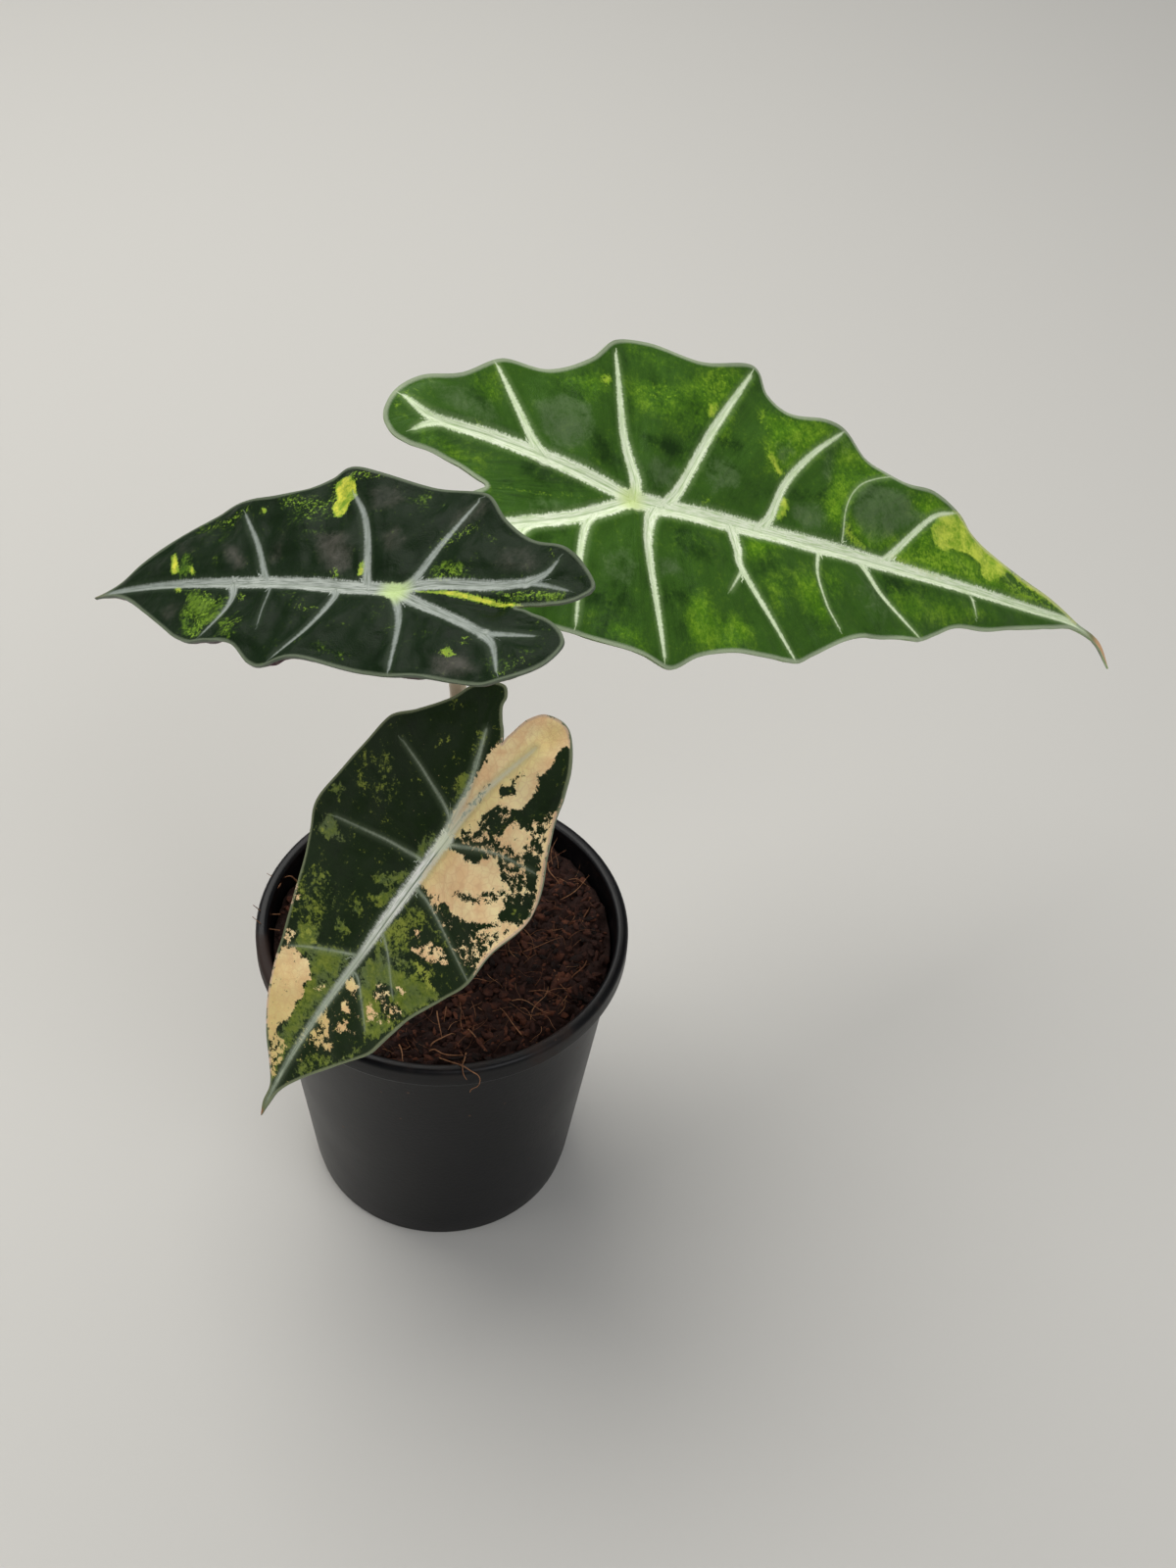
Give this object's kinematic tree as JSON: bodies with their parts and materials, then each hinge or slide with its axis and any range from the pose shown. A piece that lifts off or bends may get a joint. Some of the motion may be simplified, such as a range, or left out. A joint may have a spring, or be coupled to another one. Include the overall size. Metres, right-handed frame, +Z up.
{
  "type": "potted alocasia plant",
  "caption": "Potted aroid plant with wavy arrow-shaped variegated leaves on arching stalks, growing from coir in a round tapered nursery pot.",
  "frame": {"origin": "centre of the flat middle of the pot's underside, on the surface it stands on", "axes": "+Z up along the pot's axis, +X to the right of the picture towards the long leaf, +Y away from the viewer"},
  "size_m": [0.3333, 0.1787, 0.3002],
  "materials": {
    "pot": "satin black moulded plastic",
    "soil": "loose damp coir with pale fibres",
    "stalk_green": "smooth waxy plant stalk",
    "stalk_cream": "smooth waxy plant stalk",
    "leaf_green": "quilted semi-gloss leaf with pale veins",
    "leaf_dark": "quilted semi-gloss dark leaf with silver veins",
    "leaf_variegated": "quilted semi-gloss leaf with cream patches"
  },
  "bodies": {
    "root": {"pot": "pot", "soil": "soil", "petiole_right": "stalk_green", "petiole_left": "stalk_cream", "petiole_front": "stalk_cream", "leaf_right": "leaf_green", "leaf_left": "leaf_dark", "leaf_front": "leaf_variegated"}
  },
  "joints": []
}
